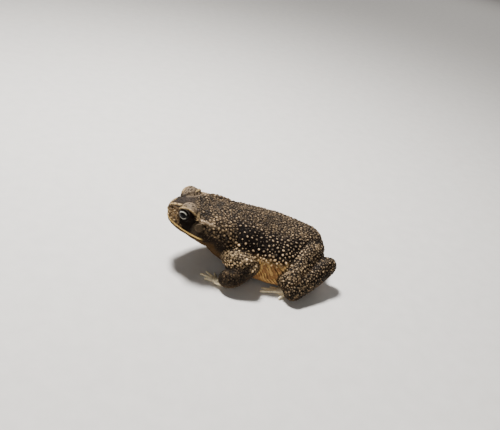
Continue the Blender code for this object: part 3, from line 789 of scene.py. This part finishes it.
    # painted shade in the hollow of the nostril
    hole = np.linalg.norm(places - nostril["centre"], axis=1)
    lay("dark", 1 - fade(hole, 0.7, 1.2))
    # painted highlight: a lighter grey line along the edge of the upper lid
    lay("marginHighlight", np.exp(-(((measure - 1.10) / 0.06) ** 2)) * fade(upness, 0.2, 0.5) * near)
    # the lid skin inside the opening is dark: partly its own dark colour, partly painted shade
    lay("dark", 1 - fade(measure, 1.0, 1.05))
    rimWide = 4 + 5 * fade(-x, 46, 51)
    lay("crest", np.exp(-((fold / rimWide) ** 2)) * fade(upness, 0.1, 0.35) * near)
    return found


def labelled(raw):
    labelsAt.shares = labelsAt(raw)


print("unwrapping the skin")
bpy.context.view_layer.objects.active = skin
skin.select_set(True)
skin.data.uv_layers.new(name="OFBake")
bpy.ops.object.mode_set(mode="EDIT")
bpy.ops.mesh.select_all(action="SELECT")
bpy.ops.uv.smart_project(angle_limit=math.radians(66), island_margin=0.002)
bpy.ops.object.mode_set(mode="OBJECT")

print("laying the markings on the skin")
mesh = skin.data
raw = np.zeros(len(mesh.vertices) * 3)
mesh.vertices.foreach_get("co", raw)
raw = raw.reshape(-1, 3) / mm + shiftMm
normals = np.zeros(len(mesh.vertices) * 3)
mesh.vertex_normals.foreach_get("vector", normals)
normals = normals.reshape(-1, 3)
labelled(raw)
skinFound = skinAt(raw, normals)


def storeColour(mesh, name, colours):
    attribute = mesh.attributes.new(name, "FLOAT_COLOR", "POINT")
    attribute.data.foreach_set("color", np.concatenate([colours, np.ones((len(colours), 1))], 1).ravel().astype(np.float32))


def storeValue(mesh, name, values):
    attribute = mesh.attributes.new(name, "FLOAT", "POINT")
    attribute.data.foreach_set("value", np.asarray(values, np.float32))


raw = turned(raw)
mesh.vertices.foreach_set("co", ((raw - shiftMm) * mm).ravel())
mesh.update()
storeColour(mesh, "tone", skinFound[:, 0:3])
storeColour(mesh, "wartTone", skinFound[:, 3:6])
storeValue(mesh, "grain", skinFound[:, 9])
storeValue(mesh, "pits", skinFound[:, 12])


# Warts: low round domes with a flared foot, thrown on the skin where they fit. The granules are
# smaller ones that fill the gaps
warts = {"throws": 110000, "segments": 10, "rings": (0.14, 0.26, 0.28), "height": 0.56, "seed": 5}
granules = {"throws": 60000, "segments": 6, "rings": (0.3, 0.3), "height": 0.5, "least": 0.22, "most": 0.42}
wartFoot = {"sunk": 0.16, "patch": 0.0015}


def wartTemplate(sizes):
    bm = bmesh.new()
    bmesh.ops.create_circle(bm, cap_ends=True, segments=sizes["segments"], radius=1)
    for thickness in sizes["rings"]:
        middle = min(bm.faces, key=lambda face: face.calc_center_median().length)
        bmesh.ops.inset_individual(bm, faces=[middle], thickness=thickness, use_even_offset=True)
    middle = min(bm.faces, key=lambda face: face.calc_center_median().length)
    bmesh.ops.poke(bm, faces=[middle])
    bm.verts.index_update()
    flat = np.array([vert.co for vert in bm.verts])
    faces = [[vert.index for vert in face.verts] for face in bm.faces]
    bm.free()
    return flat, faces


wartCells = {}
cellSize = 3.9


# The gap there must be between two warts is their radii times the wider of their spacings
def isFree(place, own, spacing):
    cell = [int(value // cellSize) for value in place]
    for dx in (-1, 0, 1):
        for dy in (-1, 0, 1):
            for dz in (-1, 0, 1):
                for x, y, z, other, otherSpacing in wartCells.get((cell[0] + dx, cell[1] + dy, cell[2] + dz), ()):
                    reach = (own + other) * max(spacing, otherSpacing)
                    if (place[0] - x) ** 2 + (place[1] - y) ** 2 + (place[2] - z) ** 2 < reach * reach:
                        return False
    wartCells.setdefault(tuple(cell), []).append((*place, own, spacing))
    return True


def throwWarts():
    mesh.calc_loop_triangles()
    corners = np.zeros(len(mesh.loop_triangles) * 3, np.int32)
    mesh.loop_triangles.foreach_get("vertices", corners)
    corners = corners.reshape(-1, 3)
    loops = np.zeros(len(mesh.loop_triangles) * 3, np.int32)
    mesh.loop_triangles.foreach_get("loops", loops)
    loops = loops.reshape(-1, 3)
    uvs = np.zeros(len(mesh.loops) * 2)
    mesh.uv_layers["OFBake"].data.foreach_get("uv", uvs)
    uvs = uvs.reshape(-1, 2)
    a, b, c = (raw[corners[:, i]] for i in range(3))
    area = np.linalg.norm(np.cross(b - a, c - a), axis=1)
    draw = np.random.default_rng(warts["seed"])
    throws = warts["throws"] + granules["throws"]
    isGranule = np.arange(throws) >= warts["throws"]
    picks = np.searchsorted(np.cumsum(area) / area.sum(), draw.random(throws))
    picks = np.minimum(picks, len(area) - 1)
    weights = draw.dirichlet((1, 1, 1), throws)

    def mix(values):
        return (values * weights[:, :, None]).sum(1)

    places = mix(raw[corners[picks]])
    out = mix(normals[corners[picks]])
    out /= np.linalg.norm(out, axis=1)[:, None]
    found = mix(skinFound[corners[picks]])
    uv = mix(uvs[loops[picks]])
    big = draw.random(throws) ** 1.9
    radius = found[:, 6] + (found[:, 7] - found[:, 6]) * big
    radius = np.where(isGranule, granules["least"] + (granules["most"] - granules["least"]) * big, radius)
    spacing = np.where(isGranule, 0.95, found[:, 8])
    keep = (draw.random(throws) < found[:, 9]) & (found[:, 9] > 0.04) & (places[:, 2] > 1.5)
    # the largest first, then the rest as they fall
    first = np.argsort(-radius[: warts["throws"] // 3])
    order = np.concatenate([first, np.arange(warts["throws"] // 3, throws)])
    chosen = [i for i in order[keep[order]] if isFree(places[i].tolist(), float(radius[i]), float(spacing[i]))]
    return [array[chosen] for array in (places, out, found, uv, radius, isGranule)]


print("throwing warts")
wartPlaces, wartNormals, wartFound, wartUv, wartRadius, wartIsGranule = throwWarts()
print((~wartIsGranule).sum(), "warts and", wartIsGranule.sum(), "granules")


def makeWarts(name, rows, sizes):
    flat, faces = wartTemplate(sizes)
    draw = np.random.default_rng(len(rows))
    count, n = len(rows), len(flat)
    places, out, found, uv, radius = (array[rows] for array in (wartPlaces, wartNormals, wartFound, wartUv, wartRadius))
    reach = np.linalg.norm(flat[:, :2], axis=1)
    # steep sides and a round top
    profile = np.interp(reach, (0, 0.27, 0.57, 0.85, 1.0), (1.0, 0.94, 0.67, 0.19, -wartFoot["sunk"]))
    lean = np.where(np.abs(out[:, 2:3]) < 0.9, np.array([[0, 0, 1.0]]), np.array([[1.0, 0, 0]]))
    first = np.cross(out, lean)
    first /= np.linalg.norm(first, axis=1)[:, None]
    second = np.cross(out, first)
    # neighbours lean the same way, as worm-like rows
    turn = noiseAt(places, 5, 41) * 9 + (draw.random(count) - 0.5) * 1.2
    stretch = 1 + 0.3 * draw.random(count)
    # outlines with one to three soft corners
    bearing = np.arctan2(flat[:, 1], flat[:, 0])
    uneven = 1 + 0.05 * (draw.random((count, n)) - 0.5) * 2
    for corners in (1, 2, 3):
        phase = draw.random((count, 1)) * 2 * math.pi
        uneven += 0.09 * draw.random((count, 1)) * np.cos(corners * bearing[None] + phase) * reach[None]
    across = flat[None, :, 0] * uneven * stretch[:, None]
    along = flat[None, :, 1] * uneven / stretch[:, None] ** 0.5
    u = across * np.cos(turn)[:, None] - along * np.sin(turn)[:, None]
    v = across * np.sin(turn)[:, None] + along * np.cos(turn)[:, None]
    height = radius * sizes["height"] * found[:, 10] * (0.75 + 0.5 * draw.random(count))
    points = places[:, None] + (u[..., None] * first[:, None] + v[..., None] * second[:, None]) * radius[:, None, None]
    points = points + out[:, None] * (profile[None, :] * height[:, None])[..., None]
    points = (points.reshape(-1, 3) - shiftMm) * mm
    sizes = [len(face) for face in faces]
    flatFaces = np.concatenate([np.array(face) for face in faces])
    allFaces = (flatFaces[None] + (np.arange(count) * n)[:, None]).ravel()
    mesh = bpy.data.meshes.new(name)
    mesh.vertices.add(count * n)
    mesh.vertices.foreach_set("co", points.ravel())
    mesh.loops.add(len(allFaces))
    mesh.loops.foreach_set("vertex_index", allFaces.astype(np.int32))
    allSizes = np.tile(sizes, count)
    mesh.polygons.add(len(allSizes))
    mesh.polygons.foreach_set("loop_start", (np.cumsum(allSizes) - allSizes).astype(np.int32))
    mesh.polygons.foreach_set("loop_total", allSizes.astype(np.int32))
    mesh.update(calc_edges=True)
    mesh.validate()
    mesh.shade_smooth()
    layer = mesh.uv_layers.new(name="OFBake")
    patch = uv[:, None] + flat[None, :, :2] * wartFoot["patch"]
    layer.data.foreach_set("uv", patch.reshape(-1, 2)[allFaces].ravel())
    # small warts are darker than large ones, and some patches are darker than others
    patchy = np.clip(1 + 0.8 * noiseAt(places, 6, 43) + 0.9 * noiseAt(places, 2.6, 53), 0.25, 1.6)
    shade = (0.5 + 0.8 * draw.random(count)) * np.interp(radius, (0.25, 0.75), (0.12, 1)) * patchy
    crowns = found[:, 3:6] * shade[:, None]
    feet = found[:, 0:3] + (crowns - found[:, 0:3]) * found[:, 11:12]
    storeColour(mesh, "tone", np.repeat(feet, n, 0))
    storeColour(mesh, "wartTone", np.repeat(crowns, n, 0))
    storeValue(mesh, "crown", np.tile(np.clip(profile, 0, 1), count))
    obj = bpy.data.objects.new(name, mesh)
    bpy.context.scene.collection.objects.link(obj)
    return obj


# Materials
def node(tree, kind, **settings):
    made = tree.nodes.new(kind)
    for key, value in settings.items():
        setattr(made, key, value)
    return made


def newMaterial(name):
    material = bpy.data.materials.new(name)
    material.use_nodes = True
    tree = material.node_tree
    return material, tree, tree.nodes["Principled BSDF"]


def attributeNode(tree, name):
    return node(tree, "ShaderNodeAttribute", attribute_name=name, attribute_type="GEOMETRY")


def objectNoise(tree, size, detail=3.0, roughness=0.55):
    coordinates = node(tree, "ShaderNodeTexCoord")
    made = node(tree, "ShaderNodeTexNoise")
    made.inputs["Scale"].default_value = 1 / (size * mm)
    made.inputs["Detail"].default_value = detail
    made.inputs["Roughness"].default_value = roughness
    tree.links.new(coordinates.outputs["Object"], made.inputs["Vector"])
    return made


def objectCells(tree, size, feature="F1"):
    coordinates = node(tree, "ShaderNodeTexCoord")
    made = node(tree, "ShaderNodeTexVoronoi", feature=feature)
    made.inputs["Scale"].default_value = 1 / (size * mm)
    tree.links.new(coordinates.outputs["Object"], made.inputs["Vector"])
    return made


def mapped(tree, value, fromLow, fromHigh, toLow, toHigh):
    made = node(tree, "ShaderNodeMapRange")
    for key, number in zip(("From Min", "From Max", "To Min", "To Max"), (fromLow, fromHigh, toLow, toHigh)):
        made.inputs[key].default_value = number
    tree.links.new(value, made.inputs["Value"])
    return made.outputs["Result"]


def mixed(tree, first, second, factor, blend="MIX"):
    made = node(tree, "ShaderNodeMix", data_type="RGBA", blend_type=blend)
    for socket, value in ((made.inputs[6], first), (made.inputs[7], second), (made.inputs[0], factor)):
        if isinstance(value, (int, float)):
            socket.default_value = value
        elif isinstance(value, tuple):
            socket.default_value = (*value, 1)
        else:
            tree.links.new(value, socket)
    return made.outputs[2]


def product(tree, first, second, operation="MULTIPLY"):
    made = node(tree, "ShaderNodeMath", operation=operation)
    for socket, value in zip(made.inputs, (first, second)):
        if isinstance(value, (int, float)):
            socket.default_value = value
        else:
            tree.links.new(value, socket)
    return made.outputs[0]


def bumped(tree, shader, height, strength, depth):
    bump = node(tree, "ShaderNodeBump")
    bump.inputs["Strength"].default_value = strength
    bump.inputs["Distance"].default_value = depth * mm
    tree.links.new(height, bump.inputs["Height"])
    tree.links.new(bump.outputs["Normal"], shader.inputs["Normal"])


# Cells of uneven outline
def wornCells(tree, size, waver):
    coordinates = node(tree, "ShaderNodeTexCoord")
    drift = objectNoise(tree, size, 2)
    scaled = node(tree, "ShaderNodeVectorMath", operation="MULTIPLY_ADD")
    scaled.inputs[1].default_value = (waver * mm,) * 3
    tree.links.new(drift.outputs["Color"], scaled.inputs[0])
    tree.links.new(coordinates.outputs["Object"], scaled.inputs[2])
    made = node(tree, "ShaderNodeTexVoronoi")
    made.inputs["Scale"].default_value = 1 / (size * mm)
    tree.links.new(scaled.outputs["Vector"], made.inputs["Vector"])
    return made


def skinMaterial():
    material, tree, shader = newMaterial("toadSkin")
    tone, wartTone = attributeNode(tree, "tone"), attributeNode(tree, "wartTone")
    grain = attributeNode(tree, "grain")
    cells = objectCells(tree, 0.85)
    granules = mapped(tree, cells.outputs["Distance"], 0.15, 0.5, 1, 0)
    patches = objectNoise(tree, 3.0)
    fleck = product(tree, granules, mapped(tree, patches.outputs["Fac"], 0.35, 0.65, 0.05, 0.35))
    fleck = product(tree, fleck, grain.outputs["Fac"])
    colour = mixed(tree, tone.outputs["Color"], wartTone.outputs["Color"], fleck)
    # a pale network with dark pits, as on the limbs
    pits = attributeNode(tree, "pits")
    network = mapped(tree, product(tree, wornCells(tree, 2.0, 1.6).outputs["Distance"], pits.outputs["Fac"], "SUBTRACT"), -0.05, 0.06, 0, 1)
    pitted = mapped(tree, pits.outputs["Fac"], 0.30, 0.45, 0, 1)
    shade = mapped(tree, objectNoise(tree, 4.0, 3).outputs["Fac"], 0.3, 0.7, 0.08, 0.85)
    pale = mixed(tree, wartTone.outputs["Color"], shade, 1.0, "MULTIPLY")
    colour = mixed(tree, colour, mixed(tree, tone.outputs["Color"], pale, network), pitted)
    fine = objectNoise(tree, 1.1, 4)
    colour = mixed(tree, colour, mapped(tree, fine.outputs["Fac"], 0.3, 0.7, 0.72, 1.25), 1.0, "MULTIPLY")
    tree.links.new(colour, shader.inputs["Base Color"])
    tree.links.new(mapped(tree, fine.outputs["Fac"], 0.3, 0.7, 0.5, 0.72), shader.inputs["Roughness"])
    wrinkle = objectCells(tree, 0.55)
    height = product(tree, granules, product(tree, wrinkle.outputs["Distance"], 0.6), "ADD")
    height = product(tree, height, product(tree, product(tree, network, pitted), 1.6), "ADD")
    bumped(tree, shader, height, 0.5, 0.25)
    shader.inputs["Specular IOR Level"].default_value = 0.06
    return material


def wartMaterial():
    material, tree, shader = newMaterial("toadWarts")
    tone, wartTone = attributeNode(tree, "tone"), attributeNode(tree, "wartTone")
    crown = attributeNode(tree, "crown")
    fine = objectNoise(tree, 0.7, 4)
    uneven = mapped(tree, fine.outputs["Fac"], 0.2, 0.8, 0.6, 1.3)
    cover = mapped(tree, product(tree, crown.outputs["Fac"], uneven), 0.2, 0.85, 0.0, 1)
    colour = mixed(tree, tone.outputs["Color"], wartTone.outputs["Color"], cover)
    patches = objectNoise(tree, 4.0)
    colour = mixed(tree, colour, mapped(tree, patches.outputs["Fac"], 0.3, 0.7, 0.7, 1.2), 1.0, "MULTIPLY")
    tree.links.new(colour, shader.inputs["Base Color"])
    # the crowns are smoother than the feet
    rough = product(tree, mapped(tree, fine.outputs["Fac"], 0.3, 0.7, -0.1, 0.1), mapped(tree, crown.outputs["Fac"], 0.3, 0.9, 0.85, 0.48), "ADD")
    tree.links.new(rough, shader.inputs["Roughness"])
    cells = objectCells(tree, 0.35)
    bumped(tree, shader, cells.outputs["Distance"], 0.35, 0.12)
    shader.inputs["Specular IOR Level"].default_value = 0.18
    return material


def eyeMaterial():
    material, tree, shader = newMaterial("toadEye")
    iris = attributeNode(tree, "iris")
    streaks = objectNoise(tree, 0.7, 5, 0.7)
    metal = mapped(tree, streaks.outputs["Fac"], 0.3, 0.55, 0.15, 1)
    colour = mixed(tree, (0.05, 0.045, 0.035), (0.62, 0.60, 0.50), metal)
    colour = mixed(tree, (0.006, 0.005, 0.004), colour, attributeNode(tree, "arc").outputs["Fac"])
    colour = mixed(tree, colour, (0.001, 0.001, 0.001), attributeNode(tree, "pupil").outputs["Fac"])
    colour = mixed(tree, (0.004, 0.003, 0.002), colour, iris.outputs["Fac"])
    tree.links.new(colour, shader.inputs["Base Color"])
    tree.links.new(mapped(tree, streaks.outputs["Fac"], 0.3, 0.7, 0.08, 0.14), shader.inputs["Roughness"])
    shader.inputs["Coat Weight"].default_value = 0.08
    shader.inputs["Specular IOR Level"].default_value = 0.16
    shader.inputs["Coat Roughness"].default_value = 0.03
    shader.inputs["Coat IOR"].default_value = 1.3
    shader.inputs["IOR"].default_value = 1.25
    return material


print("making the eyes")


def makeEye(name, side):
    bm = bmesh.new()
    rings = eyeball["rings"]
    bmesh.ops.create_uvsphere(bm, u_segments=rings[0], v_segments=rings[1], radius=1)
    gaze = unitOf(eyeball["gaze"])
    sideways = unitOf(np.cross(gaze, (0, 0, 1)))
    upwards = np.cross(sideways, gaze)
    unit = np.array([vert.co for vert in bm.verts])
    off = np.hypot(unit[:, 0], unit[:, 1])
    # the cornea bulges a little in front of the iris
    bulge = 1 + 0.035 * np.clip(1 - (off / 0.75) ** 2, 0, None) * (unit[:, 2] > 0)
    rays = unit[:, 0:1] * sideways + unit[:, 1:2] * upwards + unit[:, 2:3] * gaze
    places = np.array(eyeball["centre"]) + rays * bulge[:, None] * eyeball["radius"]
    places[:, 1] *= side
    places = turned(places)
    for vert, place in zip(bm.verts, places):
        vert.co = Vector(place) * mm - shift
    if bm.calc_volume(signed=True) < 0:
        bmesh.ops.reverse_faces(bm, faces=bm.faces)
    for face in bm.faces:
        face.smooth = True
    eye = makeObject(name, bm)
    across, up = unit[:, 0] / eyeball["iris"], unit[:, 1] / eyeball["iris"]
    front = unit[:, 2] > 0
    far = np.hypot(across, up)
    half = eyeball["pupil"]
    pupil = (1 - fade(np.hypot(across / half[0], up / half[1]), 0.92, 1.08)) * front
    arc = np.exp(-(((np.hypot(across / 0.98, up / 0.80) - 1) / 0.10) ** 2)) * fade(np.abs(up), 0.22, 0.48)
    arc *= np.where(up > 0, 1, 0.75)
    storeValue(eye.data, "pupil", pupil)
    storeValue(eye.data, "arc", np.clip(arc, 0, 1) * front)
    storeValue(eye.data, "iris", (1 - fade(far, 0.95, 1.05)) * front)
    return eye


toadSkin, toadWarts, toadEye = skinMaterial(), wartMaterial(), eyeMaterial()
for name, side in (("left", -1), ("right", 1)):
    eye = makeEye(f"eyeball_{name}", side)
    eye.data.materials.append(toadEye)
    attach(eye, "root")
    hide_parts(f"eye_{name}")

skin.data.materials.append(toadSkin)
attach(skin, "root")
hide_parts(*[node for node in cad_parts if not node.startswith("eye_")])

print("making the warts")
wartPieces = {
    "warts_front": wartPlaces[:, 0] < -22,
    "warts_middle_left": (wartPlaces[:, 0] >= -22) & (wartPlaces[:, 0] < 22) & (wartPlaces[:, 1] < 0),
    "warts_middle_right": (wartPlaces[:, 0] >= -22) & (wartPlaces[:, 0] < 22) & (wartPlaces[:, 1] >= 0),
    "warts_rear_left": (wartPlaces[:, 0] >= 22) & (wartPlaces[:, 1] < 0),
    "warts_rear_right": (wartPlaces[:, 0] >= 22) & (wartPlaces[:, 1] >= 0),
}
for name, mask in wartPieces.items():
    for kind, sizes, isKind in (("", warts, ~wartIsGranule), ("_small", granules, wartIsGranule)):
        rows = np.where(mask & isKind)[0]
        piece = makeWarts(name + kind, rows, sizes)
        piece.data.materials.append(toadWarts)
        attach(piece, "root")
        print(piece.name, len(rows))

# Floor, lights and camera
studio = {
    "floor": (0.62, 0.59, 0.55),
    "floorSize": 3.0,
    "key": {"place": (-0.18, 0.24, 0.71), "size": 0.13, "power": 19.0},
    "fill": {"place": (-0.35, -0.75, 0.45), "size": 0.5, "power": 1.6},
    "wash": {"place": (0.9, 1.5, 0.9), "size": 1.0, "power": 7.0},
    "world": 0.12,
}


def makeFloor():
    bm = bmesh.new()
    bmesh.ops.create_grid(bm, x_segments=1, y_segments=1, size=studio["floorSize"])
    floor = makeObject("floor", bm)
    material, tree, shader = newMaterial("paleFloor")
    speckle = objectNoise(tree, 12.0, 4)
    shade = mapped(tree, speckle.outputs["Fac"], 0.3, 0.7, 0.96, 1.03)
    tree.links.new(mixed(tree, studio["floor"], shade, 1.0, "MULTIPLY"), shader.inputs["Base Color"])
    shader.inputs["Roughness"].default_value = 0.85
    floor.data.materials.append(material)


def makeLight(name, sizes):
    data = bpy.data.lights.new(name, "AREA")
    data.size = sizes["size"]
    data.energy = sizes["power"]
    light = bpy.data.objects.new(name, data)
    light.location = sizes["place"]
    light.rotation_mode = "QUATERNION"
    light.rotation_quaternion = (-Vector(sizes["place"])).to_track_quat("-Z", "Y")
    bpy.context.scene.collection.objects.link(light)


makeFloor()
makeLight("key", studio["key"])
makeLight("fill", studio["fill"])
makeLight("wash", studio["wash"])
world = bpy.data.worlds.new("studio")
world.use_nodes = True
world.node_tree.nodes["Background"].inputs["Color"].default_value = (1, 0.985, 0.96, 1)
world.node_tree.nodes["Background"].inputs["Strength"].default_value = studio["world"]
bpy.context.scene.world = world

viewpoint = {
    "place": (-82.289, -351.54, 258.652),
    "right": (0.975097, -0.111138, 0.1918),
    "up": (-0.102332, 0.542044, 0.8342),
    "back": (-0.196746, -0.833017, 0.5172),
    "lens": 41.76,
}
cameraData = bpy.data.cameras.new("camera")
cameraData.lens = viewpoint["lens"]
cameraData.sensor_width = 36
cameraData.clip_start = 0.01
camera = bpy.data.objects.new("camera", cameraData)
axes = np.array([viewpoint["right"], viewpoint["up"], viewpoint["back"]]).T
camera.location = Vector(viewpoint["place"]) * mm - shift
camera.rotation_mode = "QUATERNION"
camera.rotation_quaternion = Matrix(axes.tolist()).to_quaternion()
bpy.context.scene.collection.objects.link(camera)
bpy.context.scene.camera = camera
